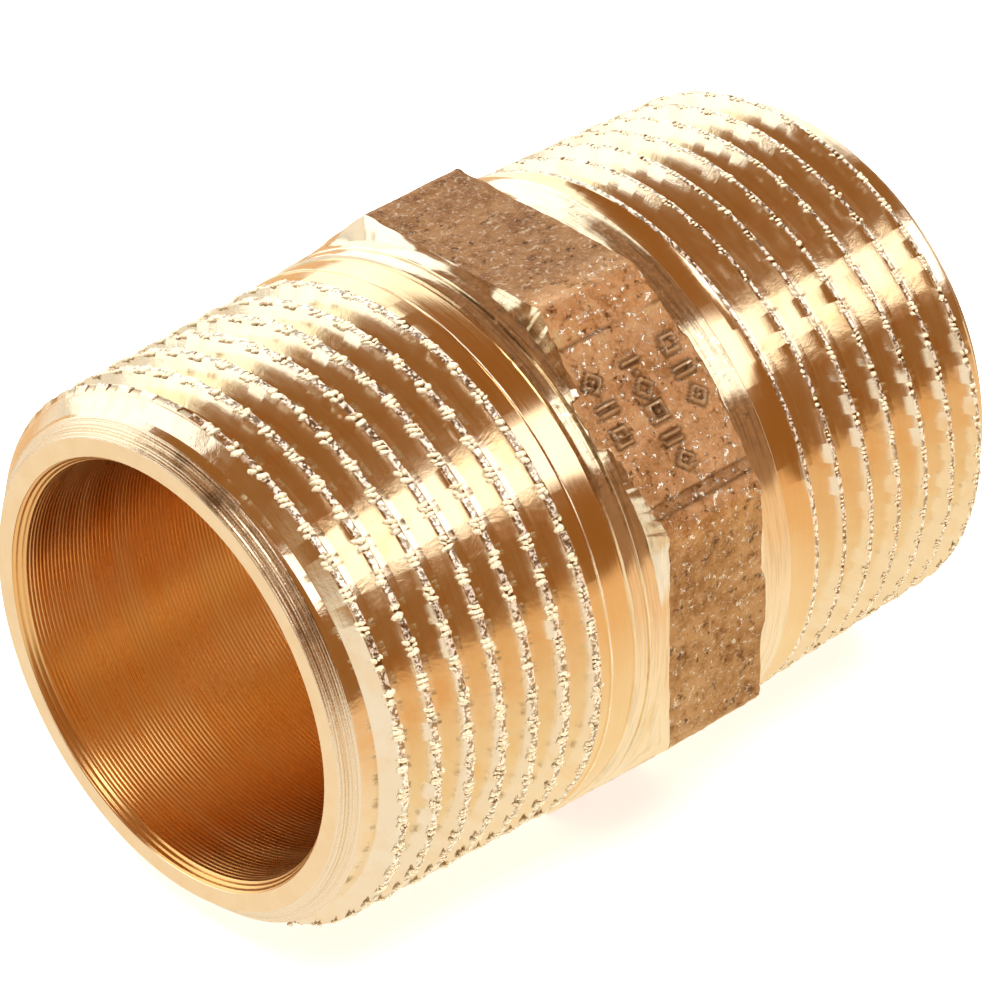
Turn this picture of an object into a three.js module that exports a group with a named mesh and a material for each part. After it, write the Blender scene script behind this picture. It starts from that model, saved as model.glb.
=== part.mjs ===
// Octagon-bodied threaded pipe nipple, nominal size 3/4, one piece of cast and machined gunmetal.
//
// Frame: millimetres, +Z up, the pipe axis lies along X, the origin is the middle of the
// overall length on that axis. Eight wrench flats surround the middle; one of them faces
// straight up and the opposite one straight down, so the nipple rests on a flat.
// Both ends carry the same right-hand taper thread R 3/4 (14 threads per inch, 1 in 16).

import * as THREE from 'three';
import { mergeVertices } from 'three/addons/utils/BufferGeometryUtils.js';

// ---------------------------------------------------------------- driving dimensions
const LENGTH = 39.5;             // over the two end faces
const PITCH = 1.814;             // 25.4 / 14
const THREAD_R_END = 12.924;     // crest radius of R 3/4 projected to the end face
const TAPER = 1 / 32;            // growth of the crest radius per mm of length
const CREST_FLAT = 0.36;         // width of the crest land
const ROOT_FLAT = 0.36;          // width of the root land
const FLANK = Math.tan(27.5 * Math.PI / 180); // 55 degree thread form, half angle

const BORE_R = 9.9;              // through bore
const BORE_CHAMFER_R = 10.32;    // mouth of the bore at the end face
const BORE_CHAMFER_D = 0.59;     // its depth
const FACE_R = 11.15;            // outer edge of the flat ring on each end face
                                 // (a 45 degree chamfer runs from here up to the thread)

const CREST_NEAR = 2.04;         // first crest behind the -X end face, on the generator below
const CREST_FAR = 2.15;          // first crest behind the +X end face, on the same generator
const CREST_AT = 137.5 * Math.PI / 180;

const NEAR = { full: 12.9, out: 14.25 };  // thread depth runs out between these distances
const FAR = { full: 13.75, out: 14.65 };

const ACROSS_FLATS = 27.0;       // octagon
const FLATS = 8;
const OCT_X0 = -2.55;            // the octagon's end planes
const OCT_X1 = 2.95;

// turned collars beside the octagon: [x, radius]
const COLLAR_NEAR = [
  [-4.44, 13.36], [-4.38, 13.42], [-3.80, 13.43], [-3.72, 13.33], [-3.64, 13.33], [-3.56, 13.45],
  [-3.10, 13.46], [-2.90, 13.48],
];
const COLLAR_FAR = [[3.25, 13.48], [3.45, 13.46], [5.06, 13.42]];

const SEG = 48;                  // facets round the axis; the octagon's corners fall on them

// ---------------------------------------------------------------- radius of the body
const half = LENGTH / 2;
const depth = (PITCH - CREST_FLAT - ROOT_FLAT) / 2 / FLANK;
const crestRadius = (d) => THREAD_R_END + d * TAPER;

// thread form: how far the surface lies below the crest at a distance from a crest centre
function belowCrest(offset) {
  const o = Math.abs(offset - PITCH * Math.round(offset / PITCH));
  return THREE.MathUtils.clamp((o - CREST_FLAT / 2) / FLANK, 0, depth);
}

function threadRadius(x, theta) {
  const near = x < 0;
  const d = near ? x + half : half - x;
  const runout = near ? NEAR : FAR;
  const crestX = near ? -half + CREST_NEAR : half - CREST_FAR;
  const helix = crestX + PITCH * (theta - CREST_AT) / (2 * Math.PI);
  const deepest = depth * (1 - THREE.MathUtils.smoothstep(d, runout.full, runout.out));
  const r = crestRadius(d) - Math.min(belowCrest(x - helix), deepest);
  return Math.min(r, FACE_R + d);          // the 45 degree end chamfer
}

function octagonRadius(theta) {
  const step = 2 * Math.PI / FLATS;
  const off = theta - step * Math.round(theta / step);
  return ACROSS_FLATS / 2 / Math.cos(off);
}

// ---------------------------------------------------------------- rows of the surface
// A row is a ring of SEG vertices. Thread rows follow the helix: each climbs by one pitch
// in a turn and is held between the two ends of its stretch, so the seam closes on the row
// that lies one pitch further on.
const rows = [];
const ring = (x, radius) => rows.push({ at: () => x, radius: () => radius });
const octagonRing = (x) => rows.push({ at: () => x, radius: octagonRadius });

function threadRows(x0, x1, crestX) {
  const phases = [-CREST_FLAT / 2, CREST_FLAT / 2, PITCH / 2 - ROOT_FLAT / 2, PITCH / 2 + ROOT_FLAT / 2];
  const base = crestX - PITCH * CREST_AT / (2 * Math.PI);     // crest centre where theta is 0
  const first = Math.floor((x0 - base) / PITCH) - 2;
  const last = Math.ceil((x1 - base) / PITCH) + 1;
  for (let k = first; k <= last; k++) {
    for (const phase of phases) {
      const start = base + k * PITCH + phase;
      const at = (theta) => THREE.MathUtils.clamp(start + PITCH * theta / (2 * Math.PI), x0, x1);
      rows.push({ at, radius: (theta) => threadRadius(at(theta), theta) });
    }
  }
}

ring(-half, BORE_CHAMFER_R);
ring(-half, FACE_R);
threadRows(-half, -half + NEAR.out, -half + CREST_NEAR);
for (const [x, r] of COLLAR_NEAR) ring(x, r);
octagonRing(OCT_X0);
octagonRing(OCT_X1);
for (const [x, r] of COLLAR_FAR) ring(x, r);
threadRows(half - FAR.out, half, half - CREST_FAR);
ring(half, FACE_R);
ring(half, BORE_CHAMFER_R);
ring(half - BORE_CHAMFER_D, BORE_R);
ring(-half + BORE_CHAMFER_D, BORE_R);
ring(-half, BORE_CHAMFER_R);               // closes the section on itself

// ---------------------------------------------------------------- lathe, then shape
function nippleGeometry() {
  const section = rows.map((row) => new THREE.Vector2(row.radius(0), row.at(0)));
  const lathe = new THREE.LatheGeometry(section, SEG);
  const position = lathe.attributes.position;
  for (let s = 0; s <= SEG; s++) {
    const theta = 2 * Math.PI * s / SEG;
    rows.forEach((row, i) => {
      // rows on the helix are evaluated over the full turn, so the last column is one pitch on
      const r = row.radius(theta);
      const wrapped = s === SEG ? 0 : theta;
      position.setXYZ(s * rows.length + i, row.at(theta), r * Math.cos(wrapped), r * Math.sin(wrapped));
    });
  }
  lathe.deleteAttribute('normal');
  lathe.deleteAttribute('uv');
  const merged = mergeVertices(lathe, 1e-4);

  // drop the triangles that vanish where rows run into the ends of a thread
  const index = merged.index.array;
  const kept = [];
  for (let t = 0; t < index.length; t += 3) {
    const [a, b, c] = [index[t], index[t + 1], index[t + 2]];
    if (a !== b && b !== c && c !== a) kept.push(a, b, c);
  }

  // faces point outwards when the enclosed volume is positive
  const p = merged.attributes.position;
  const [va, vb, vc] = [new THREE.Vector3(), new THREE.Vector3(), new THREE.Vector3()];
  let volume = 0;
  for (let t = 0; t < kept.length; t += 3) {
    va.fromBufferAttribute(p, kept[t]);
    vb.fromBufferAttribute(p, kept[t + 1]);
    vc.fromBufferAttribute(p, kept[t + 2]);
    volume += va.dot(vb.cross(vc)) / 6;
  }
  if (volume < 0) {
    for (let t = 0; t < kept.length; t += 3) [kept[t + 1], kept[t + 2]] = [kept[t + 2], kept[t + 1]];
  }
  merged.setIndex(kept);
  merged.computeVertexNormals();
  return merged;
}

const gunmetal = new THREE.MeshStandardMaterial({ name: 'gunmetal', color: 0xc98a4b, roughness: 0.3, metalness: 1.0 });

const body = new THREE.Mesh(nippleGeometry(), gunmetal);
body.name = 'nipple_body';

const nipple = new THREE.Group();
nipple.name = 'octagon_nipple';
nipple.add(body);

export default nipple;
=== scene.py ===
import math

import bpy
import numpy as np
from mathutils import Matrix, Vector


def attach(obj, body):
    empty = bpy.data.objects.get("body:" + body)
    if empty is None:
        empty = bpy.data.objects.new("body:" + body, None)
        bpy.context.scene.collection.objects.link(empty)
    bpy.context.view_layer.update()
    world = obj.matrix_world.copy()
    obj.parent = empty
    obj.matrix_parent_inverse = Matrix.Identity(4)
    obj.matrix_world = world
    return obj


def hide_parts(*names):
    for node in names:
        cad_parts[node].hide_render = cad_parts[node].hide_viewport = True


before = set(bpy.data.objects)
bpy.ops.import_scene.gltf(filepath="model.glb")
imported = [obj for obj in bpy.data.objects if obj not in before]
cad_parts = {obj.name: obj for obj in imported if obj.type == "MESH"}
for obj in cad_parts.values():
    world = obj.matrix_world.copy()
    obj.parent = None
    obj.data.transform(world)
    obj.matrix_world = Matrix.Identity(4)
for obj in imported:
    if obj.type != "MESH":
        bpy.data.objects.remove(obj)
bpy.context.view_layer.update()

MM = 0.001

# ------------------------------------------------------------------ sizes, as the CAD part has them (mm)
LENGTH = 39.5
HALF = LENGTH / 2
PITCH = 1.814
THREAD_R_END = 12.924
TAPER = 1 / 32
FLANK = math.tan(math.radians(27.5))
BORE_R = 9.9
BORE_CHAMFER_R = 10.32
BORE_CHAMFER_D = 0.59
FACE_R = 11.15
CREST_NEAR = 2.04
CREST_FAR = 2.15
CREST_AT = math.radians(137.5)
# worn crest land: half width to where the flank line meets it, and where its worn edge starts and ends
LAND = {True: 0.19, False: 0.115}
BEVEL = {True: (0.14, 0.225), False: (0.075, 0.15)}
WEAR = {True: 0.07, False: 0.12}
ROOT_DEPTH = 0.93                  # thread depth under the worn crest
LAST = 6                           # whole turns between the first crest and the last
AF = 27.0
TAU = 2 * math.pi

CLUSTERS = 51                      # notch groups in one turn of a crest
CLUSTER_NEAR = math.radians(140.3)
CLUSTER_FAR = math.radians(136.5)
STEP = TAU / CLUSTERS

M_THREAD, M_BORE, M_FACE, M_CHAMFER, M_COLLAR, M_CAST, M_BAND = range(7)


def smooth(x, a, b):
    t = np.clip((np.asarray(x, float) - a) / (b - a), 0, 1)
    return t * t * (3 - 2 * t)


# ------------------------------------------------------------------ repeatable noise on a closed ring
class RingNoise:
    """Sum of waves in theta (whole numbers of waves a turn) and x, so it closes on itself."""

    def __init__(self, seed, n_theta, n_x, count=40):
        r = np.random.default_rng(seed)
        self.a = r.integers(-n_theta, n_theta + 1, count)
        self.b = r.uniform(-n_x, n_x, count)
        self.p = r.uniform(0, TAU, count)
        self.norm = math.sqrt(count / 2)

    def __call__(self, theta, x):
        theta = np.asarray(theta, float)
        x = np.asarray(x, float)
        out = np.zeros(np.broadcast(theta, x).shape)
        for a, b, p in zip(self.a, self.b, self.p):
            out += np.cos(a * theta + b * x + p)
        return out / self.norm


noise_slow = RingNoise(3, 6, 0.5)
noise_mid = RingNoise(5, 60, 3.0, 60)
noise_fine = RingNoise(7, 260, 18.0, 90)
noise_axial = RingNoise(9, 240, 0.25, 60)      # streaks along the axis
noise_edge_n = RingNoise(13, 90, 0.01, 50)
noise_edge_f = RingNoise(17, 90, 0.01, 50)

# ------------------------------------------------------------------ thread surface
def crest_zero(near):
    return -HALF + CREST_NEAR if near else HALF - CREST_FAR


def past_last(x, theta, near):
    """Distance beyond the last crest, and how far the thread tool has lifted there (0..1)."""
    thn = (theta - CREST_AT + math.pi) % TAU - math.pi
    sgn = 1 if near else -1
    past = sgn * (x - crest_zero(near) - PITCH * thn / TAU) - LAST * PITCH
    seam = thn + math.pi if near else math.pi - thn
    return past, smooth(seam, 0.0, 1.0)


def thread_surface(x, theta, near):
    """Radius, and masks for the crest land and for the notches in it, whose floors get a dark colour as painted shade.
    """
    d = x + HALF if near else HALF - x
    helix = crest_zero(near) + PITCH * (theta - CREST_AT) / TAU
    s = x - helix - np.round((x - helix) / PITCH) * PITCH
    a = np.abs(s)
    blank = THREAD_R_END + d * TAPER - WEAR[near] + 0.010 * noise_slow(theta, x)
    land, (b0, b1) = LAND[near], BEVEL[near]

    # notch group this point belongs to
    centre = CLUSTER_NEAR if near else CLUSTER_FAR
    c = np.round((theta - centre) / STEP)
    arc = (theta - centre - c * STEP) * 13.0
    past, ramp = past_last(x, theta, near)
    gone = smooth(past, 0.75, 0.9) if near else smooth(past, -0.5, -0.3)
    present = smooth(d, 1.3, 1.6) * (1 - gone)
    inside = (np.abs(arc) < 0.33) * present

    below = np.clip((a - land) / FLANK, 0, ROOT_DEPTH)
    below = np.where(a < b1, np.clip((a - b0) / (b1 - b0), 0, 1) * (b1 - land) / FLANK, below)
    shallow = 0.03 if near else 0.24
    lifted = np.where(past > PITCH / 2, shallow, np.minimum(below, shallow))
    full = np.where(past > PITCH, np.minimum(below, shallow), below)
    below = np.where(past > 0, full * (1 - ramp) + lifted * ramp, below)
    on_land = (a < b0 + 0.005) & (past < b1)
    r = blank - below
    r = r - np.where(on_land, (0.10 if near else 0.06) * inside - 0.007 * noise_fine(theta, x), 0)

    cone = FACE_R + d
    uncut = smooth(cone - r, -0.03, 0.03)
    r = np.minimum(r, cone)
    crest = (1 - smooth(a, b0 - 0.01, b1 + 0.005)) * (past < b1) * (1 - inside) * uncut
    # notch floors: this mask colours them dark, painted shade between the burrs
    painted_shade = (1 - smooth(a, b0, b1 + 0.01)) * inside * uncut
    return r, np.clip(crest, 0, 1), np.zeros_like(r), np.clip(painted_shade, 0, 1)


# ------------------------------------------------------------------ octagon surface
FLAT0 = 3                                         # the flat that carries the foundry marks: normal at 135 degrees
CORNER = 5.5919                                   # half width of a flat


def flat_coords(theta):
    step = TAU / 8
    m = np.round(theta / step)
    off = theta - m * step
    return (m.astype(int)) % 8, off, 13.5 * np.tan(off)


def stroke(dist, width, height, soft=0.05):
    return height * (1 - smooth(dist, width / 2 - soft, width / 2 + soft))


def seg(px, py, ax, ay, bx, by):
    vx, vy = bx - ax, by - ay
    t = np.clip(((px - ax) * vx + (py - ay) * vy) / (vx * vx + vy * vy), 0, 1)
    return np.hypot(px - ax - t * vx, py - ay - t * vy)


def foundry_marks(x, s):
    """Plain cast marks: bars, squares, diamonds and dots. They mean nothing."""
    w, h = 0.17, 0.16
    out = np.zeros(np.broadcast(x, s).shape)
    def box(cx, cy, a):
        return np.abs(np.maximum(np.abs(x - cx), np.abs(s - cy)) - a)

    def diamond(cx, cy, a):
        return np.abs(np.abs(x - cx) + np.abs(s - cy) - a) * 0.75
    marks = [
        diamond(-2.1, -1.75, 0.46),
        seg(x, s, -2.55, -0.62, -1.6, -0.62), seg(x, s, -2.55, -0.28, -1.6, -0.28),
        box(-2.1, 0.85, 0.34),
        seg(x, s, -0.25, -1.85, 0.65, -1.85),
        diamond(0.2, -0.55, 0.44),
        box(0.2, 0.62, 0.36),
        seg(x, s, -0.25, 1.72, 0.65, 1.72), seg(x, s, -0.25, 2.06, 0.65, 2.06),
        diamond(0.2, 3.0, 0.42),
        box(2.5, -1.75, 0.34),
        seg(x, s, 2.05, -0.62, 3.0, -0.62), seg(x, s, 2.05, -0.28, 3.0, -0.28),
        diamond(2.5, 0.8, 0.44),
    ]
    halo = np.zeros_like(out)
    for m in marks:
        out = np.maximum(out, stroke(m, w, h))
        halo = np.maximum(halo, stroke(m, w + 0.24, 1.0, 0.06))
    for cx, cy, r in [(-2.1, -1.75, 0.12), (0.2, 0.62, 0.12), (2.5, 0.8, 0.12), (0.2, -1.25, 0.11), (0.2, 3.0, 0.11)]:
        dist = np.hypot(x - cx, s - cy)
        out = np.maximum(out, h * (1 - smooth(dist, r - 0.05, r + 0.06)))
        halo = np.maximum(halo, 1 - smooth(dist, r + 0.06, r + 0.18))
    # halo: a ring round each mark, sunk a little; its mask is later used to colour it dark as a painted shadow
    return out - 0.035 * halo * (1 - out / h), halo * (1 - np.clip(out / h, 0, 1))


def oct_radius(x, theta, masks=False):
    """Cast octagon with slightly rounded corners, its wrinkles and marks."""
    step = TAU / 8
    m, off, s = flat_coords(theta)
    a = AF / 2 / np.cos(off)
    other = AF / 2 / np.cos(step - np.abs(off))
    k = 0.16
    hh = np.clip(0.5 + 0.5 * (other - a) / k, 0, 1)
    r = other * (1 - hh) + a * hh - k * hh * (1 - hh)
    rough = 0.013 * noise_mid(theta, x) + 0.006 * noise_fine(theta, x) + 0.008 * noise_axial(theta, x)
    r = r + rough - 0.012
    front = m == FLAT0
    groove = 0.10 * smooth(s, 4.12, 4.22) * (1 - smooth(s, 4.72, 4.84))
    line = 0.05 * (1 - smooth(np.abs(s + 3.68 + 0.04 * np.sin(x)), 0.03, 0.11))
    wrinkle = 0.02 * np.sin((s + 5.6) * 9.0 + 0.8 * np.sin(x * 0.9)) * smooth(-s, 3.75, 3.95)
    r = r - np.where(front, groove + line - wrinkle, 0)
    raised, halo = foundry_marks(x, s)
    r = r + np.where(front, raised, 0)
    # an old drawing line near the upper corner of the next flat down, and two shallow ones behind
    low = m == FLAT0 + 1
    r = r - np.where(low, 0.05 * (1 - smooth(np.abs(s + 4.75), 0.10, 0.25)), 0)
    back = (m == 0) | (m == 6)
    r = r - np.where(back, 0.04 * (1 - smooth(np.abs(s - 2.9), 0.05, 0.2)), 0)
    low_rough = np.where(low | (m == 5), 0.018 * np.sin(5.2 * x + 3.1 * s + 1.5 * noise_mid(theta, x)), 0)
    if masks:
        # colour masks: strokes lighten the raised marks as a painted highlight; dark colours the halos round them, the
        # groove edges and the line across the flat as painted shade
        strokes = np.where(front, np.clip(raised / 0.12, 0, 1), 0)
        edges = np.exp(-((s - 4.17) / 0.09) ** 2) + np.exp(-((s - 4.78) / 0.09) ** 2)
        dark = np.where(front, np.maximum(halo, np.maximum(groove / 0.10 * 0.35 + 0.6 * edges, line / 0.05 * 0.9)), 0)
        return r + low_rough, strokes, dark
    return r + low_rough


def bound_near(theta):
    m, off, s = flat_coords(theta)
    mid = 1 - np.clip(np.abs(s) / CORNER, 0, 1) ** 2
    x = -2.55 - 0.02 * mid
    front = m == FLAT0
    j = noise_edge_n(theta, 0)
    bulge = smooth(s, -1.52, -1.38) * (1 - smooth(s, 0.85, 1.05))
    slope = smooth(s, 0.3, 4.0)
    x = x - np.where(front, 0.42 * mid * (1 - 0.35 * slope) + 0.55 * bulge, 0)
    other = ((m == 1) | (m == 6)) * 0.45 * (1 - smooth(np.abs(s + 0.7), 1.1, 1.7)) + (m == 7) * 0.3 * mid
    x = x - other
    return x + 0.022 * j + np.where(front, 0.018 * noise_edge_f(theta * 3, 1), 0)


def bound_far(theta):
    m, off, s = flat_coords(theta)
    mid = 1 - np.clip(np.abs(s) / CORNER, 0, 1) ** 2
    front = m == FLAT0
    j = noise_edge_f(theta, 0)
    bulge = smooth(s, -1.9, -1.5) * (1 - smooth(s, 0.9, 1.4))
    x = 3.02 + 0.06 * mid + np.where(front, 0.30 * mid + 0.20 * bulge, 0)
    x = x + ((m == 4) | (m == 0)) * 0.25 * (1 - smooth(np.abs(s - 0.5), 1.2, 1.9))
    return x + 0.022 * j


# ------------------------------------------------------------------ mesh store
V, CRESTV, BURR_AND_MARK_HIGHLIGHT_V, PAINTED_SHADE_V, PATHV = [], [], [], [], []
F, FM = [], []


def add(x, r, theta, crest=None, burr_and_mark_highlight=None, painted_shade=None, path=None):
    x, r, theta = np.broadcast_arrays(np.asarray(x, float), np.asarray(r, float), np.asarray(theta, float))
    n = x.size
    start = sum(len(v) for v in V)
    V.append(np.column_stack([x.ravel(), (r * np.cos(theta)).ravel(), (r * np.sin(theta)).ravel()]))
    CRESTV.append(np.zeros(n) if crest is None else np.broadcast_to(crest, x.shape).ravel())
    BURR_AND_MARK_HIGHLIGHT_V.append(np.zeros(n) if burr_and_mark_highlight is None else np.broadcast_to(burr_and_mark_highlight, x.shape).ravel())
    PAINTED_SHADE_V.append(np.zeros(n) if painted_shade is None else np.broadcast_to(painted_shade, x.shape).ravel())
    PATHV.append(np.zeros(n) if path is None else np.broadcast_to(path, x.shape).ravel())
    return np.arange(start, start + n)


def stitch(ring_a, ring_b, mat):
    """Faces between two closed rings of (vertex ids, thetas)."""
    ia, ta = ring_a
    ib, tb = ring_b
    if len(ia) == len(ib) and np.allclose(ta, tb, atol=1e-9):
        n = len(ia)
        nx = np.roll(np.arange(n), -1)
        for p in range(n):
            q = nx[p]
            F.append((ia[p], ia[q], ib[q], ib[p])); FM.append(mat)
        return
    na, nb = len(ia), len(ib)
    ea = np.append(ta, ta[0] + TAU)
    eb = np.append(tb, tb[0] + TAU)
    p = q = 0
    while p < na or q < nb:
        if p < na and q < nb and abs(ea[p + 1] - eb[q + 1]) < 1e-7:
            F.append((ia[p], ia[(p + 1) % na], ib[(q + 1) % nb], ib[q])); FM.append(mat)
            p += 1; q += 1
        elif q >= nb or (p < na and ea[p + 1] < eb[q + 1]):
            F.append((ia[p], ia[(p + 1) % na], ib[q % nb])); FM.append(mat)
            p += 1
        else:
            F.append((ia[p % na], ib[(q + 1) % nb], ib[q])); FM.append(mat)
            q += 1


def ring(x, r, theta, path, burr_and_mark_highlight=None, painted_shade=None):
    x = np.broadcast_to(np.asarray(x, float), theta.shape)
    r = np.broadcast_to(np.asarray(r, float), theta.shape)
    return add(x, r, theta, burr_and_mark_highlight=burr_and_mark_highlight, painted_shade=painted_shade, path=path), theta


# ------------------------------------------------------------------ columns
# four columns to a notch group: its two edges, doubled
OFFSETS = np.array([-0.38, -0.29, 0.29, 0.38]) / 13.0



def fine_columns(centre):
    first = math.ceil((0 - (centre - STEP / 2)) / STEP)
    start = centre - STEP / 2 + first * STEP         # first mid-gap angle at or above 0
    return np.concatenate([start + STEP / 2 + k * STEP + OFFSETS for k in range(CLUSTERS)])


COARSE = np.linspace(0, TAU, 102, endpoint=False)


def section_rows(near):
    """Where the rows of one thread turn lie, measured from the middle of its crest."""
    root = LAND[near] + ROOT_DEPTH * FLANK
    b0, b1 = BEVEL[near]
    return [-root, -b1, -b0, b0, b1, root]




def path_of(x, theta, near):
    helix = crest_zero(near) + PITCH * (theta - CREST_AT) / TAU
    s = x - helix - np.round((x - helix) / PITCH) * PITCH
    a = np.abs(s)
    g = np.minimum(a, 0.2) + np.clip(a - 0.2, 0, 0.53) * 2.1 + np.maximum(a - 0.73, 0)
    full = 0.2 + 0.53 * 2.1 + (PITCH / 2 - 0.73)
    rate = full / (PITCH / 2)
    return rate * (x - s) + np.sign(s) * g


def spiral(x0, x1, near, mat):
    """Thread zone between the rings at x0 and x1: rows follow the helix. Returns the two end rings."""
    th = fine_columns(CLUSTER_NEAR if near else CLUSTER_FAR)
    n = len(th)
    base = crest_zero(near) - PITCH * CREST_AT / TAU  # crest centre at theta 0
    k0 = math.floor((x0 - base - PITCH * th[-1] / TAU) / PITCH) - 1
    k1 = math.ceil((x1 - base) / PITCH) + 1
    section = section_rows(near)
    per = len(section)
    starts = np.array([base + k * PITCH + s for k in range(k0, k1 + 1) for s in section])
    nr = len(starts)
    # columns 0..n, the last a turn on from the first
    tt = np.append(th, th[0] + TAU)
    X = starts[:, None] + PITCH * tt[None, :] / TAU
    snap = 0.03
    lo = X <= x0 + snap
    hi = X >= x1 - snap
    TT = np.broadcast_to(tt, X.shape)
    r0, m0, b0, g0 = thread_surface(np.full(n, x0), th, near)
    r1, m1, b1, g1 = thread_surface(np.full(n, x1), th, near)
    ring0 = add(x0, r0, th, m0, b0, g0, path_of(np.full(n, x0), th, near))
    ring1 = add(x1, r1, th, m1, b1, g1, path_of(np.full(n, x1), th, near))
    ids = np.full(X.shape, -1)
    held = lo | hi
    free = ~held
    free[:, n] = False                                # the last column is the first, one pitch on
    rr, cc = np.nonzero(free)
    xs, ts = X[rr, cc], TT[rr, cc]
    rad, mask, burr_and_mark_highlight, painted_shade = thread_surface(xs, ts, near)
    ids[rr, cc] = add(xs, rad, ts, mask, burr_and_mark_highlight, painted_shade, path_of(xs, ts, near))
    col = np.arange(n + 1) % n
    ids = np.where(lo, ring0[col][None, :], ids)
    ids = np.where(hi, ring1[col][None, :], ids)
    # close the turn: row j + per at the first column is row j at the last
    for j in range(nr - per):
        if not held[j, n]:
            ids[j, n] = ids[j + per, 0]
    past, _ = past_last(X, TT, near)
    for j in range(nr - 1):
        for e in range(n):
            if lo[j + 1, e:e + 2].all() or hi[j, e:e + 2].all():
                continue
            beyond = min(past[j, e], past[j + 1, e]) > BEVEL[near][1] - 0.02
            face((ids[j, e], ids[j, e + 1], ids[j + 1, e + 1], ids[j + 1, e]), M_BAND if beyond else mat)
    return (ring0, th % TAU), (ring1, th % TAU)


PEBBLE_UV = []                                       # face index, and the UV of its corners, for each burr face


def pebble(x, r, theta, left, right, wide, high, tilt, lumps, sides, rings_):
    """One closed lump of metal that a notch has pushed up, seated in the crest."""
    ts = [-1 + 2 * (j + 1) / (rings_ + 1) for j in range(rings_)]
    px, pr, pt, low = [x - left], [r - 0.02], [theta + (-tilt * left) / 13.0], [0.5]
    for j, t in enumerate(ts):
        s = t * (left if t < 0 else right)
        k = (1 - abs(t) ** 2.4) ** 0.5 * (0.72 + 0.5 * lumps[j % 5])
        off = tilt * s + 0.05 * (lumps[(j + 2) % 5] - 0.5)
        for m in range(sides):
            g = TAU * (m + 0.5 * (j % 2)) / sides
            px.append(x + s)
            pt.append(theta + (off - wide * k * math.cos(g)) / 13.0)
            pr.append(r + high * k * math.sin(g))
            # the underside of each lump carries the dark colour: painted shade under it
            low.append(max(0.0, min(1.0, 0.05 - 1.0 * math.sin(g))))
    px.append(x + right); pr.append(r - 0.02); pt.append(theta + tilt * right / 13.0); low.append(0.5)
    ids = add(np.array(px), np.array(pr), np.array(pt), 0.0, 1.0, np.array(low), 0.0)
    def vid(j, m):
        return ids[1 + j * sides + m % sides]
    cell = len(PEBBLE_CELLS)
    PEBBLE_CELLS.append(cell)
    for m in range(sides):
        face((ids[0], vid(0, m + 1), vid(0, m)), M_THREAD)
        PEBBLE_UV.append((len(F) - 1, cell, ((0, m + 0.5), (1, m + 1), (1, m)), sides, rings_))
        for j in range(rings_ - 1):
            face((vid(j, m), vid(j, m + 1), vid(j + 1, m + 1), vid(j + 1, m)), M_THREAD)
            PEBBLE_UV.append((len(F) - 1, cell, ((j + 1, m), (j + 1, m + 1), (j + 2, m + 1), (j + 2, m)), sides, rings_))
        face((vid(rings_ - 1, m), vid(rings_ - 1, m + 1), ids[-1]), M_THREAD)
        PEBBLE_UV.append((len(F) - 1, cell, ((rings_, m), (rings_, m + 1), (rings_ + 1, m + 0.5)), sides, rings_))


PEBBLE_CELLS = []


def burrs(near, seed):
    """Groups of two or three burrs along every crest."""
    q = np.random.default_rng(seed)
    centre = CLUSTER_NEAR if near else CLUSTER_FAR
    k0 = -2 if near else -LAST - 1
    for k in range(k0, k0 + LAST + 4):
        for c in range(CLUSTERS):
            u = q.random(24)
            theta = centre + c * STEP
            x = crest_zero(near) + PITCH * (theta - CREST_AT) / TAU + k * PITCH
            d = x + HALF if near else HALF - x
            past, _ = past_last(x, theta, near)
            if d < 1.5 or past > (0.8 if near else -0.5):
                continue
            size = 0.85 if past > -0.5 else 1.0
            if not near:
                size = 0.62 if past > -1.3 * PITCH else (0.78 if past > -2.3 * PITCH else 0.92)
            blank = THREAD_R_END + d * TAPER - WEAR[near] + 0.010 * float(noise_slow(theta, x))
            cone = FACE_R + d
            if blank > cone - 0.05:
                continue
            two = u[0] < 0.3
            sides, rings_ = (6, 4) if near else (5, 4)
            for i in ((0, 2) if two else (0, 1, 2)):
                amp = (0.75 + 0.5 * u[1 + i]) * size
                step = 0.165 if two else 0.215
                at = (i - 1) * (step + 0.04 * u[4]) + (u[5] - 0.5) * 0.06
                tilt = -0.08 + 0.42 * u[6 + i]
                if near:
                    left, right, wide, high = 0.28 + 0.20 * u[9 + i], 0.23 + 0.17 * u[12 + i], 0.125, 0.135
                else:
                    left, right, wide, high = 0.19 + 0.14 * u[9 + i], 0.14 + 0.11 * u[12 + i], 0.105, 0.100
                if two:
                    wide *= 1.3
                wide = wide * math.sqrt(size) * (0.80 + 0.40 * u[15 + i])
                base = blank - 0.080 + 0.03 * (amp - size)
                shift = 0.10 * (u[18 + i] - 0.5)
                place = theta + at * math.sqrt(size) / 13.0
                if u[21 + i % 3] < 0.30:      # a lump that has split in two
                    pebble(x + shift - 0.42 * left, base, place + (0.03 - 0.42 * left * tilt) / 13.0, 0.62 * left * size, 0.55 * right * size,
                           wide * 0.95, high * amp, tilt + 0.3, u[17:22], 5, 3)
                    pebble(x + shift + 0.48 * right, base - 0.01, place + (-0.03 + 0.48 * right * tilt) / 13.0, 0.52 * left * size, 0.60 * right * size,
                           wide * 0.85, high * amp * 0.95, tilt - 0.25, u[16:21], 5, 3)
                else:
                    pebble(x + shift, base, place, left * size, right * size, wide, high * amp, tilt, u[17:22], sides, rings_)


def face(poly, mat):
    out = []
    for v in poly:
        if not out or v != out[-1]:
            out.append(v)
    if len(out) > 1 and out[0] == out[-1]:
        out.pop()
    if len(set(out)) < 3 or len(set(out)) != len(out):
        return
    F.append(tuple(out)); FM.append(mat)


def sort_ring(r):
    ids, th = r
    k = int(np.argmin(th))
    return np.roll(ids, -k), np.roll(th, -k)


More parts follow.
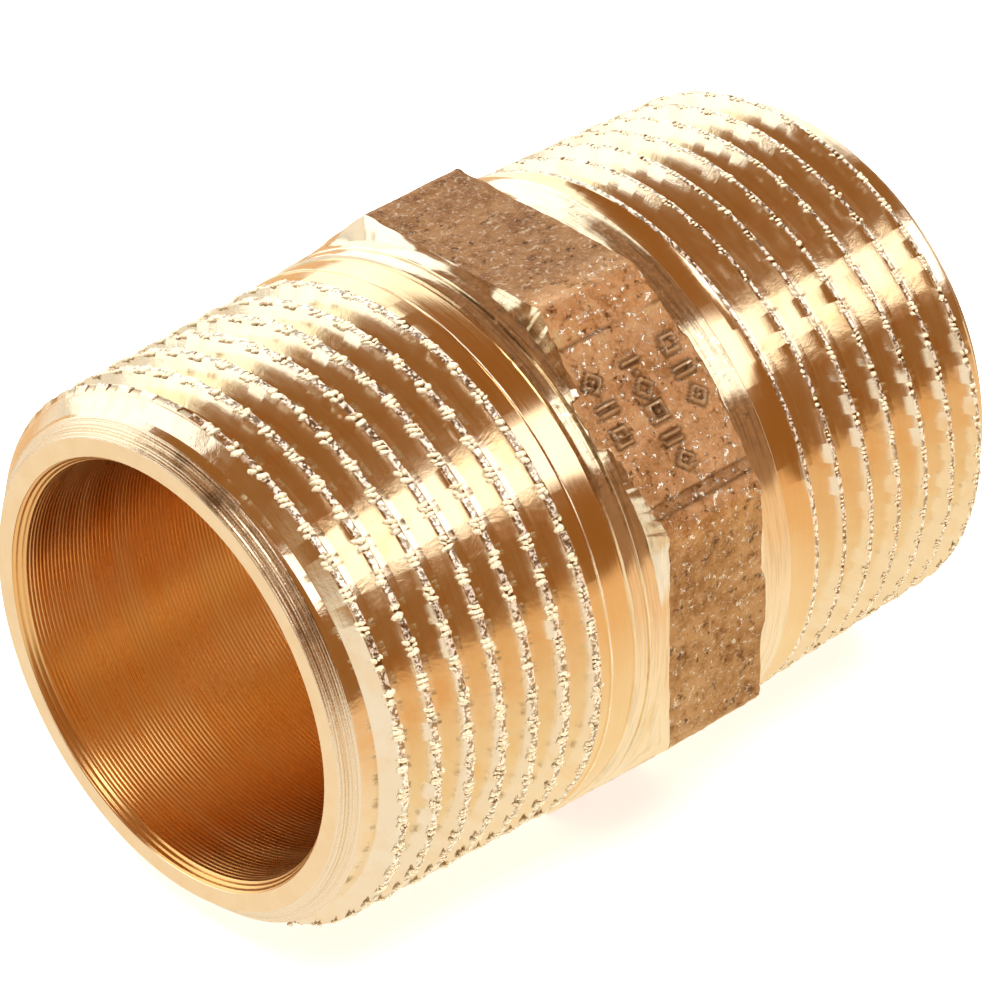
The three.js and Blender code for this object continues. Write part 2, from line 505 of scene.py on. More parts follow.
# ------------------------------------------------------------------ build the section, one zone after another
def chamfer_rings(near):
    """Face edge to the first thread: the 45 degree chamfer with its turned grooves."""
    sgn = 1 if near else -1
    rings = []
    last = 0.66
    n = 17
    for i in range(n + 1):
        f = i / n
        d = last * f
        jit = 0.012 * np.sin(COARSE * 3 + i * 2.1) * (0 < i < n)
        lift = (0.014 if i % 2 else -0.014) * (0 < i < n)
        dd = d + jit
        r = FACE_R + dd + lift
        if i == 0:
            r = np.full_like(COARSE, FACE_R)
            dd = np.full_like(COARSE, 0.0)
        rings.append((sgn * (-HALF) + sgn * (dd - lift * 0.7), r, f))
    return rings


T = COARSE
# near end face, from the mouth of the bore outwards
face_n = []
for r, dx in [(BORE_CHAMFER_R, 0.0), (BORE_CHAMFER_R + 0.04, -0.0), (10.62, 0.004), (10.92, 0.0), (FACE_R - 0.03, 0.0)]:
    face_n.append(ring(-HALF + dx + 0.002 * np.sin(5 * T + r * 7) * (10.4 < r < 11.0), r, T, -HALF - (FACE_R - r)))
first = face_n[0]
for a, b in zip(face_n, face_n[1:]):
    stitch(a, b, M_FACE)
ch = chamfer_rings(True)
prev = face_n[-1]
for i, (x, r, f) in enumerate(ch):
    cur = ring(x, r, T, -HALF + 0.93 * f)
    stitch(prev, cur, M_FACE if i == 0 else M_CHAMFER)
    prev = cur

X_N0, X_N1 = -HALF + 0.72, -HALF + 13.87
sp0, sp1 = spiral(X_N0, X_N1, True, M_THREAD)
stitch(prev, sort_ring(sp0), M_CHAMFER)
prev = sort_ring(sp1)

# near collar: smooth band, ring, groove, ring, shoulder
wob = lambda a, k, p: a * np.sin(k * T + p)           # noqa: E731
near_rows = [
    (-5.868, 13.305), (-5.835, 13.325), (-5.80, 13.318), (-5.765, 13.285), (-5.30, 13.29), (-4.62, 13.30), (-4.50, 13.285), (-4.445, 13.27), (-4.40, 13.40), (-4.33, 13.425), (-4.05, 13.415),
    (-3.93, 13.425), (-3.80, 13.42), (-3.755, 13.38), (-3.725, 13.27), (-3.665, 13.26), (-3.635, 13.40), (-3.60, 13.445),
]
for i, (x, r) in enumerate(near_rows):
    line = 0.012 * noise_edge_n(T, 2) * (0 < i < 3)      # the thin ragged line the thread tool left
    cur = ring(x + wob(0.008, 2, i), r + line + 0.006 * noise_mid(T, x * 0.3) * (x > -4.42), T, x, burr_and_mark_highlight=0.9 * (0 < i < 3) * (0.6 + 0.4 * np.sin(23 * T)))
    stitch(prev, cur, M_THREAD if i in (1, 2, 3) else (M_BAND if i < 8 else M_COLLAR))
    prev = cur

# octagon columns: close together over the marks and at the corners
def oct_columns():
    cols = []
    for m in range(8):
        c = m * TAU / 8
        if m == FLAT0:
            s = np.concatenate([
                -CORNER + np.array([0.0, 0.12, 0.26, 0.45, 0.7]),
                np.linspace(-4.65, -2.45, 14), np.linspace(-2.36, 3.34, 72),
                np.linspace(3.5, 4.0, 4), np.array([4.10, 4.18, 4.26, 4.45, 4.64, 4.74, 4.84, 4.98, 5.14, 5.3, 5.42, 5.51]),
            ])
        else:
            s = np.concatenate([
                -CORNER + np.array([0.0, 0.12, 0.26, 0.45, 0.7]), np.linspace(-4.6, 4.6, 20),
                np.array([4.95, 5.15, 5.33, 5.47]),
            ])
        cols.append(c + np.arctan(s / 13.5))
    th = np.concatenate(cols) % TAU
    return np.sort(th)


TO = oct_columns()
xb0 = bound_near(TO)
xb1 = bound_far(TO)
ro0 = oct_radius(xb0, TO)
ro1 = oct_radius(xb1, TO)
m_, off_, s_ = flat_coords(TO)

for f, g in [(0.0, 0.0), (0.40, 0.004), (0.64, 0.03), (0.76, 0.36), (0.88, 0.72), (1.0, 1.0)]:
    x = -3.555 * (1 - f) + xb0 * f
    rc = 13.452 + 0.012 * f
    rim = 0.010 * np.abs(noise_edge_n(TO * 2, 3)) * (f == 1.0)
    r = rc + np.maximum(ro0 - rc, 0.0 if f < 1 else -0.05) * g + rim
    cur = ring(x, r, TO, x)
    stitch(prev, cur, M_COLLAR)
    prev = cur

N_OCT = 54
for i in range(1, N_OCT + 1):
    f = i / N_OCT
    x = xb0 * (1 - f) + xb1 * f
    r, strokes, dark = oct_radius(x, TO, True)
    edge = np.exp(-((f * 6.0) / 0.18) ** 2) + np.exp(-(((1 - f) * 6.0) / 0.18) ** 2)
    r = r + 0.012 * edge * np.abs(noise_edge_n(TO * 2, 3 + 4 * f))
    # the raised marks are coloured lighter (painted highlight); their halos, the groove and the line darker (painted
    # shade)
    cur = ring(x, r, TO, x, burr_and_mark_highlight=strokes * 0.45, painted_shade=dark)
    stitch(prev, cur, M_CAST)
    prev = cur
    last_x, last_r = x, r

for f, g in [(0.22, 0.50), (0.45, 0.16), (0.7, 0.02), (1.0, 0.0)]:
    x = xb1 * (1 - f) + 3.72 * f
    rc = 13.465
    r = rc + (ro1 - rc) * g
    cur = ring(x, r, TO, x)
    stitch(prev, cur, M_COLLAR)
    prev = cur

far_rows = [(3.85, 13.46), (4.20, 13.455), (4.60, 13.45), (4.92, 13.44), (5.0, 13.425), (5.04, 13.36), (5.075, 13.34)]
for i, (x, r) in enumerate(far_rows):
    cur = ring(x + wob(0.008, 3, i), r + 0.006 * noise_mid(T, x * 0.3), T, x)
    stitch(prev, cur, M_COLLAR)
    prev = cur

X_F0, X_F1 = HALF - 14.62, HALF - 0.72
sp0, sp1 = spiral(X_F0, X_F1, False, M_THREAD)
stitch(prev, sort_ring(sp0), M_BAND)
prev = sort_ring(sp1)

ch = chamfer_rings(False)[::-1]
for i, (x, r, f) in enumerate(ch):
    cur = ring(x, r, T, HALF - 0.93 * f)
    stitch(prev, cur, M_CHAMFER)
    prev = cur
for r, dx in [(FACE_R - 0.03, 0.0), (10.92, 0.0), (10.62, 0.004), (BORE_CHAMFER_R + 0.04, 0.0), (BORE_CHAMFER_R, 0.0)]:
    cur = ring(HALF - dx - 0.002 * np.sin(5 * T + r * 7) * (10.4 < r < 11.0), r, T, HALF + (FACE_R - r))
    stitch(prev, cur, M_FACE)
    prev = cur

# bore, from +X to -X
bore_rows = [(HALF - 0.03, BORE_CHAMFER_R - 0.05)]
for d, r in [(0.2, 10.17), (0.42, 10.02), (BORE_CHAMFER_D - 0.06, 9.935), (BORE_CHAMFER_D + 0.08, BORE_R)]:
    bore_rows.append((HALF - d, r))
for x in np.linspace(HALF - 1.6, -HALF + 1.6, 12):
    bore_rows.append((x, BORE_R))
for d, r in [(BORE_CHAMFER_D + 0.08, BORE_R), (BORE_CHAMFER_D - 0.06, 9.935), (0.42, 10.02), (0.2, 10.17), (0.03, BORE_CHAMFER_R - 0.05)]:
    bore_rows.append((-HALF + d, r))
for x, r in bore_rows:
    cur = ring(x, r, T, 100 + x)
    stitch(prev, cur, M_BORE)
    prev = cur
stitch(prev, first, M_FACE)
burrs(True, 21)
burrs(False, 22)

# ------------------------------------------------------------------ mesh object
co = np.concatenate(V) * MM
# thread faces that lie wholly on the end chamfer belong to it
on_cone = np.abs((HALF - np.abs(np.concatenate(V)[:, 0])) + FACE_R - np.hypot(np.concatenate(V)[:, 1], np.concatenate(V)[:, 2])) < 0.004
FM = [M_CHAMFER if m == M_THREAD and all(on_cone[i] for i in f) else m for f, m in zip(F, FM)]
me = bpy.data.meshes.new("nipple_surface")
me.from_pydata(co.tolist(), [], F)
me.update()
me.polygons.foreach_set("material_index", np.array(FM, np.int32))
me.polygons.foreach_set("use_smooth", np.ones(len(F), bool))
for name, data in (("crest", CRESTV), ("burr_and_mark_highlight", BURR_AND_MARK_HIGHLIGHT_V), ("painted_shade", PAINTED_SHADE_V)):
    at = me.attributes.new(name, "FLOAT", "POINT")
    at.data.foreach_set("value", np.concatenate(data).astype(np.float32))

# UV layer for baking: one strip for the outside, one for the bore, both unrolled round the axis
uv = me.uv_layers.new(name="OFBake")
nl = len(me.loops)
vi = np.zeros(nl, np.int32); me.loops.foreach_get("vertex_index", vi)
ls = np.zeros(len(F), np.int32); me.polygons.foreach_get("loop_start", ls)
lt = np.zeros(len(F), np.int32); me.polygons.foreach_get("loop_total", lt)
poly_of = np.repeat(np.arange(len(F)), lt)
theta_v = np.arctan2(co[:, 2], co[:, 1]) % TAU
path_v = np.concatenate(PATHV)
tl = theta_v[vi]
pmax = np.maximum.reduceat(tl, ls); pmin = np.minimum.reduceat(tl, ls)
wraps = (pmax - pmin) > math.pi
tl = np.where(wraps[poly_of] & (tl < math.pi), tl + TAU, tl)
pl = path_v[vi]
mat_l = np.array(FM)[poly_of]
p_out = path_v[path_v < 60]
lo_p, hi_p = p_out.min(), p_out.max()
bore_l = mat_l == M_BORE
share = 0.64
u = 0.01 + 0.98 * tl / (TAU * 1.01)
v_out = 0.01 + (share - 0.02) * (np.clip(pl, lo_p, hi_p) - lo_p) / (hi_p - lo_p)
v_bore = share + 0.01 + (1 - share - 0.02) * (np.clip(np.where(pl > 60, pl - 100, np.clip(pl, -HALF, HALF)), -HALF, HALF) + HALF) / LENGTH
v = np.where(bore_l, v_bore, v_out) * 0.86
# the burrs: each has its own small cell in the top strip
grid = 70
tall = math.ceil(len(PEBBLE_CELLS) / grid)
for f, cell, corners, sides, rings_ in PEBBLE_UV:
    gx, gy = cell % grid, cell // grid
    for i, (cj, cm) in enumerate(corners):
        u[ls[f] + i] = 0.01 + 0.98 * (gx + 0.08 + 0.84 * cm / sides) / grid
        v[ls[f] + i] = 0.87 + 0.12 * (gy + 0.08 + 0.84 * cj / (rings_ + 1)) / tall
uvs = np.column_stack([u, v]).astype(np.float32)
uv.data.foreach_set("uv", uvs.ravel())

obj = bpy.data.objects.new("nipple_surface", me)
bpy.context.scene.collection.objects.link(obj)
# crisp edges where a tool left one
me.set_sharp_from_angle(angle=math.radians(22))
sharp = np.zeros(len(me.edges), bool); me.attributes["sharp_edge"].data.foreach_get("value", sharp)
ev = np.zeros(len(me.edges) * 2, np.int32); me.edges.foreach_get("vertices", ev)
is_burr = np.concatenate(BURR_AND_MARK_HIGHLIGHT_V)[ev[::2]] > 0.5        # burrs are rounded lumps
me.attributes["sharp_edge"].data.foreach_set("value", sharp & ~is_burr)
tris = int((lt - 2).sum())
print("nipple_surface", len(co), "verts", len(F), "faces", tris, "tris")


# ------------------------------------------------------------------ materials
def new_mat(name):
    m = bpy.data.materials.new(name)
    m.use_nodes = True
    nt = m.node_tree
    nt.nodes.clear()
    out = nt.nodes.new("ShaderNodeOutputMaterial")
    b = nt.nodes.new("ShaderNodeBsdfPrincipled")
    nt.links.new(b.outputs[0], out.inputs[0])
    b.inputs["Metallic"].default_value = 1.0
    return m, nt, b


class N:
    """Small helper that writes node chains."""

    def __init__(self, nt):
        self.nt = nt
        tc = nt.nodes.new("ShaderNodeTexCoord")
        self.obj = tc.outputs["Object"]

    def link(self, a, b):
        self.nt.links.new(a, b)

    def math(self, op, a, b=None, clamp=False):
        n = self.nt.nodes.new("ShaderNodeMath"); n.operation = op; n.use_clamp = clamp
        for i, v in enumerate((a, b)):
            if v is None:
                continue
            if isinstance(v, (int, float)):
                n.inputs[i].default_value = v
            else:
                self.link(v, n.inputs[i])
        return n.outputs[0]

    def mapping(self, scale=(1, 1, 1), loc=(0, 0, 0), rot=(0, 0, 0)):
        n = self.nt.nodes.new("ShaderNodeMapping")
        n.inputs["Scale"].default_value = scale
        n.inputs["Location"].default_value = loc
        n.inputs["Rotation"].default_value = rot
        self.link(self.obj, n.inputs["Vector"])
        return n.outputs[0]

    def noise(self, vec, scale, detail=4, rough=0.55, dist=0.0):
        n = self.nt.nodes.new("ShaderNodeTexNoise")
        n.inputs["Scale"].default_value = scale
        n.inputs["Detail"].default_value = detail
        n.inputs["Roughness"].default_value = rough
        n.inputs["Distortion"].default_value = dist
        self.link(vec, n.inputs["Vector"])
        return n.outputs["Fac"]

    def range(self, v, a, b, c, d):
        n = self.nt.nodes.new("ShaderNodeMapRange")
        n.inputs["From Min"].default_value = a; n.inputs["From Max"].default_value = b
        n.inputs["To Min"].default_value = c; n.inputs["To Max"].default_value = d
        self.link(v, n.inputs["Value"])
        return n.outputs[0]

    def mix(self, fac, a, b, blend="MIX"):
        n = self.nt.nodes.new("ShaderNodeMix"); n.data_type = "RGBA"; n.blend_type = blend
        if isinstance(fac, (int, float)):
            n.inputs[0].default_value = fac
        else:
            self.link(fac, n.inputs[0])
        for i, v in ((6, a), (7, b)):
            if isinstance(v, tuple):
                n.inputs[i].default_value = (*v, 1)
            else:
                self.link(v, n.inputs[i])
        return n.outputs[2]

    def attr(self, name):
        n = self.nt.nodes.new("ShaderNodeAttribute"); n.attribute_name = name
        return n.outputs["Fac"]

    def split(self, vec):
        n = self.nt.nodes.new("ShaderNodeSeparateXYZ")
        self.link(vec, n.inputs[0])
        return n.outputs

    def radius(self):
        x, y, z = self.split(self.obj)
        return self.math("SQRT", self.math("ADD", self.math("MULTIPLY", y, y), self.math("MULTIPLY", z, z)))

    def grey(self, v):
        n = self.nt.nodes.new("ShaderNodeCombineColor")
        for i in range(3):
            self.link(v, n.inputs[i])
        return n.outputs[0]

    def shaded_side(self, broad, a, b):
        """Mask for the side of the turn that faces the dark surroundings, where colour is painted darker as painted
        shade, and the radius.
        """
        x, y, z = self.split(self.obj)
        r = self.radius()
        across = self.math("DIVIDE", self.math("ADD", self.math("MULTIPLY", y, -0.6756), self.math("MULTIPLY", z, -0.7373)), r)
        across = self.math("ADD", across, self.range(broad, 0.3, 0.7, -0.10, 0.10))
        return self.math("MULTIPLY", self.range(across, a, b, 1.0, 0.0), self.range(across, -0.80, -0.62, 0.0, 1.0)), r

    def radius_xy(self):
        x, y, z = self.split(self.obj)
        return self.math("SQRT", self.math("ADD", self.math("MULTIPLY", x, x), self.math("MULTIPLY", y, y)))

    def bump(self, height, strength, distance, normal=None):
        n = self.nt.nodes.new("ShaderNodeBump")
        n.inputs["Strength"].default_value = strength
        n.inputs["Distance"].default_value = distance
        self.link(height, n.inputs["Height"])
        if normal is not None:
            self.link(normal, n.inputs["Normal"])
        return n.outputs[0]

    def wave(self, coord, pitch_m, warp=None, amount=0.0):
        """0..1 ridges of a pitch in metres along a coordinate."""
        v = self.math("MULTIPLY", coord, TAU / pitch_m)
        if warp is not None:
            v = self.math("ADD", v, self.math("MULTIPLY", warp, amount))
        return self.math("ADD", self.math("MULTIPLY", self.math("SINE", v), 0.5), 0.5)


GOLD = (0.97, 0.91, 0.78)
GOLD_DEEP = (0.95, 0.87, 0.70)


def tangent(nt, b, axis="X"):
    t = nt.nodes.new("ShaderNodeTangent")
    t.direction_type = "RADIAL"; t.axis = axis
    nt.links.new(t.outputs[0], b.inputs["Tangent"])
    b.inputs["Anisotropic Rotation"].default_value = 0.25   # tool marks run round the axis, so gloss spreads along it


def turned_base(n, pale, deep, light):
    """Colour, gloss and fine turning marks that every machined surface shares."""
    streak = n.noise(n.mapping((9000, 260, 260)), 1.0, 3, 0.6)
    broad = n.noise(n.mapping((300, 300, 300)), 1.0, 3, 0.5)
    smear = n.noise(n.mapping((420, 900, 900), rot=(0, 0, 0.35)), 1.0, 4, 0.7, 0.6)
    col = n.mix(n.range(broad, 0.3, 0.7, 0, 1), pale, deep)
    col = n.mix(n.range(streak, 0.40, 0.75, 0, 0.30), col, light)
    col = n.mix(n.range(smear, 0.58, 0.75, 0, 0.35), col, light)
    return col, streak, broad, smear


def thread_material():
    m, nt, b = new_mat("turned_thread")
    n = N(nt)
    col, streak, broad, smear = turned_base(n, GOLD, GOLD_DEEP, (0.99, 0.90, 0.74))
    stain = n.noise(n.mapping((330, 620, 620), loc=(2.2, 0.6, 5.1)), 1.0, 3, 0.6)
    col = n.mix(n.range(stain, 0.50, 0.66, 0, 0.55), col, (0.95, 0.78, 0.54))
    fine = n.noise(n.obj, 9000, 3, 0.6)
    crest = n.attr("crest")
    burr_and_mark_highlight = n.attr("burr_and_mark_highlight")
    painted_shade = n.attr("painted_shade")
    coarse = n.noise(n.obj, 4600, 3, 0.65)
    spots = n.range(n.math("ADD", coarse, n.math("MULTIPLY", n.math("SUBTRACT", fine, 0.5), 0.5)), 0.44, 0.55, 0.0, 1.0)
    crest_col = n.mix(spots, (0.34, 0.30, 0.24), (1.0, 0.98, 0.90))
    col = n.mix(n.math("MULTIPLY", crest, 0.85), col, crest_col)
    col = n.mix(burr_and_mark_highlight, col, n.mix(n.range(fine, 0.35, 0.65, 0, 1), (0.97, 0.88, 0.60), (1.0, 0.98, 0.84)))
    # painted shade: notch floors and burr undersides go dark
    col = n.mix(n.math("MULTIPLY", painted_shade, 0.75), col, (0.20, 0.13, 0.07))
    n.link(col, b.inputs["Base Color"])
    rough = n.range(streak, 0.3, 0.7, 0.13, 0.20)
    rough = n.math("ADD", rough, n.range(smear, 0.55, 0.75, 0.0, 0.06))
    rough = n.math("ADD", rough, n.math("MULTIPLY", crest, 0.06))
    rough = n.math("ADD", rough, n.math("MULTIPLY", burr_and_mark_highlight, 0.10))
    n.link(rough, b.inputs["Roughness"])
    n.link(n.math("SUBTRACT", 1.0, n.math("ADD", n.math("MULTIPLY", burr_and_mark_highlight, 0.55), n.math("MULTIPLY", n.math("MULTIPLY", crest, spots), 0.40))), b.inputs["Metallic"])
    b.inputs["Anisotropic"].default_value = 0.6
    tangent(nt, b)
    h1 = n.bump(smear, 1.0, 0.000012, n.bump(streak, 0.25, 0.00002))
    h2 = n.bump(n.math("MULTIPLY", fine, n.math("ADD", n.math("ADD", n.math("MULTIPLY", crest, 0.5), n.math("MULTIPLY", burr_and_mark_highlight, 0.8)), 0.03)), 0.8, 0.00006, h1)
    n.link(h2, b.inputs["Normal"])
    return m


def band_material():
    m, nt, b = new_mat("turned_band")
    n = N(nt)
    col, streak, broad, smear = turned_base(n, (0.96, 0.82, 0.58), (0.94, 0.75, 0.47), (0.99, 0.88, 0.66))
    n.link(col, b.inputs["Base Color"])
    rough = n.math("ADD", n.range(streak, 0.3, 0.7, 0.13, 0.20), n.range(smear, 0.55, 0.75, 0.0, 0.06))
    n.link(rough, b.inputs["Roughness"])
    b.inputs["Anisotropic"].default_value = 0.6
    tangent(nt, b)
    n.link(n.bump(streak, 0.25, 0.00002), b.inputs["Normal"])
    return m


def bore_material():
    m, nt, b = new_mat("bored_hole")
    n = N(nt)
    x, y, z = n.split(n.obj)
    warp = n.noise(n.mapping((200, 60, 60)), 1.0, 2, 0.5)
    ridges = n.wave(x, 0.00021, warp, 7.0)
    broad = n.noise(n.mapping((900, 120, 120)), 1.0, 3, 0.6)
    # painted shade: the bore's brass gets a deeper, darker orange than the outside, standing in for the shade inside
    # the hole, and the valleys of the turning ridges are coloured darker
    col = n.mix(n.range(broad, 0.3, 0.7, 0, 1), (0.87, 0.52, 0.20), (0.98, 0.71, 0.36))
    col = n.mix(n.math("MULTIPLY", n.range(ridges, 0.0, 0.5, 0.5, 0.0), n.range(broad, 0.4, 0.6, 0.2, 1.0)), col, (0.56, 0.27, 0.10))
    n.link(col, b.inputs["Base Color"])
    n.link(n.range(broad, 0.3, 0.7, 0.24, 0.34), b.inputs["Roughness"])
    b.inputs["Anisotropic"].default_value = 0.6
    tangent(nt, b)
    n.link(n.bump(n.math("ADD", ridges, n.math("MULTIPLY", broad, 0.15)), 0.8, 0.00003), b.inputs["Normal"])
    return m


def face_material():
    m, nt, b = new_mat("faced_end")
    n = N(nt)
    r = n.radius()
    warp = n.noise(n.mapping((500, 500, 500)), 1.0, 2, 0.5)
    rings_ = n.wave(r, 0.00011, warp, 2.0)
    broad = n.noise(n.mapping((700, 700, 700)), 1.0, 4, 0.6)
    col = n.mix(n.range(broad, 0.35, 0.65, 0, 1), (0.98, 0.82, 0.58), (0.95, 0.76, 0.51))
    n.link(col, b.inputs["Base Color"])
    n.link(n.range(broad, 0.3, 0.7, 0.15, 0.23), b.inputs["Roughness"])
    b.inputs["Anisotropic"].default_value = 0.4
    tangent(nt, b)
    n.link(n.bump(rings_, 0.5, 0.000006), b.inputs["Normal"])
    return m


def chamfer_material():
    m, nt, b = new_mat("turned_chamfer")
    n = N(nt)
    r = n.radius()
    warp = n.noise(n.mapping((900, 900, 900)), 1.0, 3, 0.6)
    rings_ = n.wave(r, 0.00010, warp, 2.5)
    fine = n.noise(n.obj, 9000, 3, 0.6)
    broad = n.noise(n.obj, 620, 4, 0.65)
    # painted shade: where this side mask is on, the chamfer gets dark groove lines, dark blotches and light flecks;
    # elsewhere it keeps its pale turned colour with faint groove lines
    painted_shade_side, r = n.shaded_side(broad, 0.12, 0.42)
    col = n.mix(n.math("MULTIPLY", n.range(rings_, 0.0, 0.6, 1, 0), n.range(painted_shade_side, 0, 1, 0.15, 1.0)), (0.99, 0.90, 0.74), (0.48, 0.36, 0.23))
    col = n.mix(n.math("MULTIPLY", n.range(broad, 0.50, 0.68, 0.0, 0.8), painted_shade_side), col, (0.26, 0.18, 0.10))
    col = n.mix(n.math("MULTIPLY", n.range(fine, 0.62, 0.74, 0.0, 0.8), painted_shade_side), col, (1.0, 0.92, 0.74))
    n.link(col, b.inputs["Base Color"])
    n.link(n.range(fine, 0.3, 0.7, 0.22, 0.38), b.inputs["Roughness"])
    b.inputs["Anisotropic"].default_value = 0.4
    tangent(nt, b)
    h = n.math("ADD", rings_, n.math("MULTIPLY", fine, 0.7))
    n.link(n.bump(h, 0.8, 0.00002), b.inputs["Normal"])
    return m


def collar_material():
    m, nt, b = new_mat("turned_collar")
    n = N(nt)
    fine = n.noise(n.obj, 4200, 5, 0.7)
    grain = n.noise(n.mapping((1500, 2600, 2600)), 1.0, 5, 0.7)
    streak = n.noise(n.mapping((7000, 300, 300)), 1.0, 3, 0.6)
    broad = n.noise(n.obj, 900, 4, 0.6)
    # painted shade: on the side of the turn picked by this mask the collar goes greyer and darker, with dark streaks,
    # dark pits and light flecks; the rest stays pale with faint streaks
    part, r = n.shaded_side(broad, 0.10, 0.34)
    col = n.mix(part, (0.99, 0.93, 0.78), n.mix(n.range(fine, 0.35, 0.65, 0, 1), (0.70, 0.62, 0.45), (0.92, 0.84, 0.66)))
    col = n.mix(n.math("MULTIPLY", n.range(streak, 0.49, 0.60, 0, 0.45), n.range(part, 0, 1, 0.3, 1.0)), col, (0.26, 0.20, 0.12))
    pits = n.math("MULTIPLY", n.range(grain, 0.57, 0.67, 0, 0.8), n.math("MULTIPLY", n.range(broad, 0.42, 0.60, 0.2, 1.0), part))
    col = n.mix(pits, col, (0.10, 0.07, 0.04))
    col = n.mix(n.math("MULTIPLY", n.range(grain, 0.42, 0.36, 0, 0.9), part), col, (1.0, 0.96, 0.84))
    n.link(col, b.inputs["Base Color"])
    n.link(n.math("ADD", n.range(fine, 0.3, 0.7, 0.10, 0.18), n.math("MULTIPLY", pits, 0.2)), b.inputs["Roughness"])
    b.inputs["Metallic"].default_value = 0.97
    b.inputs["Anisotropic"].default_value = 0.5
    tangent(nt, b)
    h = n.math("SUBTRACT", n.math("ADD", n.math("MULTIPLY", fine, 0.5), n.math("MULTIPLY", streak, 0.9)), n.math("MULTIPLY", pits, 0.9))
    n.link(n.bump(h, 0.15, 0.000018), b.inputs["Normal"])
    return m


def cast_material():
    m, nt, b = new_mat("cast_octagon")
    n = N(nt)
    broad = n.noise(n.mapping((260, 420, 420)), 1.0, 4, 0.6)
    mid = n.noise(n.obj, 1500, 6, 0.72)
    fine = n.noise(n.obj, 6500, 4, 0.7)
    axial = n.noise(n.mapping((330, 1500, 1500)), 1.0, 4, 0.6)
    pit = n.noise(n.mapping((2100, 2100, 2100), loc=(1.3, 4.7, 2.4)), 1.0, 4, 0.7)
    spots = n.noise(n.mapping((3000, 3000, 3000), loc=(3.1, 1.7, 0.4)), 1.0, 3, 0.75)
    mark_highlight = n.attr("burr_and_mark_highlight")
    dark = n.attr("painted_shade")
    col = n.mix(n.range(broad, 0.36, 0.64, 0, 1), (0.58, 0.34, 0.15), (0.90, 0.62, 0.35))
    col = n.mix(n.range(axial, 0.54, 0.68, 0, 0.5), col, (0.42, 0.21, 0.09))
    col = n.mix(n.range(mid, 0.48, 0.60, 0, 0.6), col, (0.98, 0.72, 0.46))
    col = n.mix(n.range(mid, 0.44, 0.34, 0, 0.75), col, (0.30, 0.13, 0.05))
    col = n.mix(n.range(pit, 0.60, 0.66, 0, 0.8), col, (0.14, 0.06, 0.025))
    x, y, z = n.split(n.obj)
    across = n.math("DIVIDE", n.math("ADD", n.math("MULTIPLY", y, -0.6756), n.math("MULTIPLY", z, -0.7373)), n.radius())
    # painted light and shade by which way the surface faces: the side turned furthest up is darker and warmer, the band
    # just below it brightest, the middle a little lighter than the base colour and the side turned down darker
    side_light = n.math("MULTIPLY", n.range(across, -0.52, -0.38, 0.60, 1.35), n.range(across, 0.32, 0.44, 1.0, 0.70))
    side_light = n.math("MULTIPLY", side_light, n.range(across, -0.30, -0.25, 1.0, 0.84))
    col = n.mix(1.0, col, n.grey(side_light), "MULTIPLY")
    col = n.mix(n.range(across, -0.52, -0.38, 1.0, 0.0), col, (0.96, 0.77, 0.60), "MULTIPLY")
    # white specks standing in for glints, a painted highlight, stronger on the side painted lighter above; the light
    # flecks below are scaled the same way
    bright = n.math("MULTIPLY", n.range(spots, 0.585, 0.625, 0, 1.0), n.range(side_light, 0.6, 1.1, 0.35, 1.0))
    col = n.mix(bright, col, (1.0, 0.98, 0.86))
    col = n.mix(n.math("MULTIPLY", n.range(fine, 0.56, 0.64, 0, 0.7), n.range(side_light, 0.62, 1.1, 0.45, 1.0)), col, (1.0, 0.88, 0.66))
    # painted highlight on the raised marks, then painted shade round them, in the groove and along the line
    col = n.mix(n.math("MULTIPLY", mark_highlight, 1.6), col, (1.0, 0.88, 0.66))
    col = n.mix(n.math("MULTIPLY", dark, 0.75), col, (0.20, 0.13, 0.07))
    n.link(col, b.inputs["Base Color"])
    rough = n.math("SUBTRACT", n.range(mid, 0.3, 0.7, 0.41, 0.27), n.math("MULTIPLY", bright, 0.10))
    n.link(rough, b.inputs["Roughness"])
    h = n.math("ADD", n.math("MULTIPLY", mid, 1.0), n.math("MULTIPLY", fine, 0.6))
    h = n.math("SUBTRACT", h, n.math("MULTIPLY", n.range(pit, 0.58, 0.68, 0, 1), 0.5))
    h = n.math("ADD", h, n.math("MULTIPLY", bright, 0.5))
    n.link(n.math("SUBTRACT", 1.0, n.math("MULTIPLY", bright, 0.4)), b.inputs["Metallic"])
    n.link(n.bump(h, 1.0, 0.00011), b.inputs["Normal"])
    return m


for make in (thread_material, bore_material, face_material, chamfer_material, collar_material, cast_material, band_material):
    me.materials.append(make())

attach(obj, "root")
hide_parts("nipple_body")

# ------------------------------------------------------------------ camera
cam_data = bpy.data.cameras.new("camera")
cam = bpy.data.objects.new("camera", cam_data)
bpy.context.scene.collection.objects.link(cam)
right = Vector((0.7275567, -0.68586514, -0.01581944))
up = Vector((0.39288577, 0.39764333, 0.82916859))
back = Vector((-0.56240734, -0.6094824, 0.55877472))
loc = Vector((-147.00940481, -159.41384773, 145.93155712)) * MM
cam.matrix_world = Matrix((
    (right.x, up.x, back.x, loc.x), (right.y, up.y, back.y, loc.y), (right.z, up.z, back.z, loc.z), (0, 0, 0, 1)))
cam_data.sensor_width = 36
cam_data.lens = 209.83
cam_data.clip_start = 0.01
cam_data.clip_end = 20
cam_data.dof.use_dof = False
bpy.context.scene.camera = cam

# ------------------------------------------------------------------ floor and studio
FLOOR_Z = -0.0135


